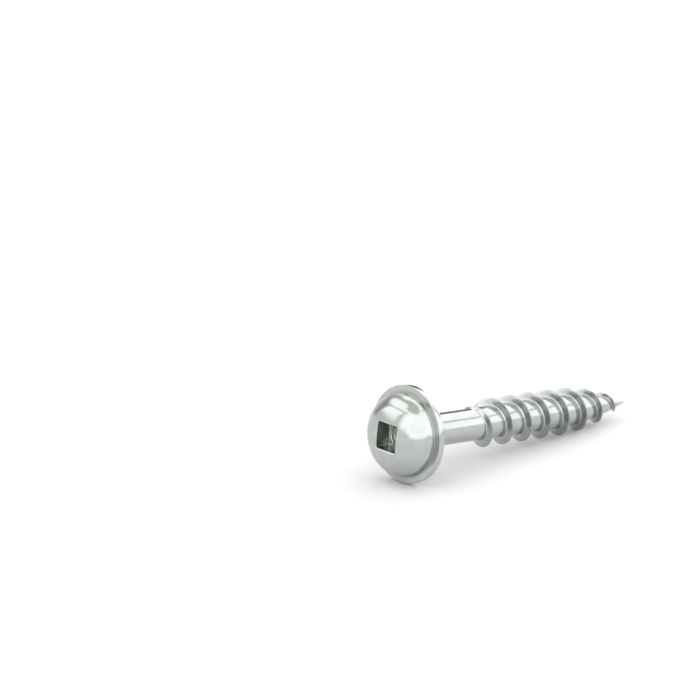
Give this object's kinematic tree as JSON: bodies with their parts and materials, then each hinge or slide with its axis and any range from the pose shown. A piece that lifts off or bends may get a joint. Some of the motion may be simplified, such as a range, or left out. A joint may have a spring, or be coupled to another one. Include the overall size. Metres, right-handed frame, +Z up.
{
  "type": "pocket hole screw",
  "caption": "Self-tapping pocket hole screw with a domed washer head, a square drive recess and a coarse thread that runs out to a sharp point.",
  "frame": {"origin": "centre of the bounding box's underside, on the floor that the screw lies on", "axes": "+X from the head to the point, seen from above, +Z up; the screw's own axis dips towards the point by the few degrees at which the flange's edge and a thread crest both touch the floor"},
  "size_m": [0.0352, 0.0102, 0.0103],
  "materials": {
    "zinc": "bright zinc plating, slightly satin"
  },
  "bodies": {
    "root": {"screw": "zinc"}
  },
  "joints": []
}
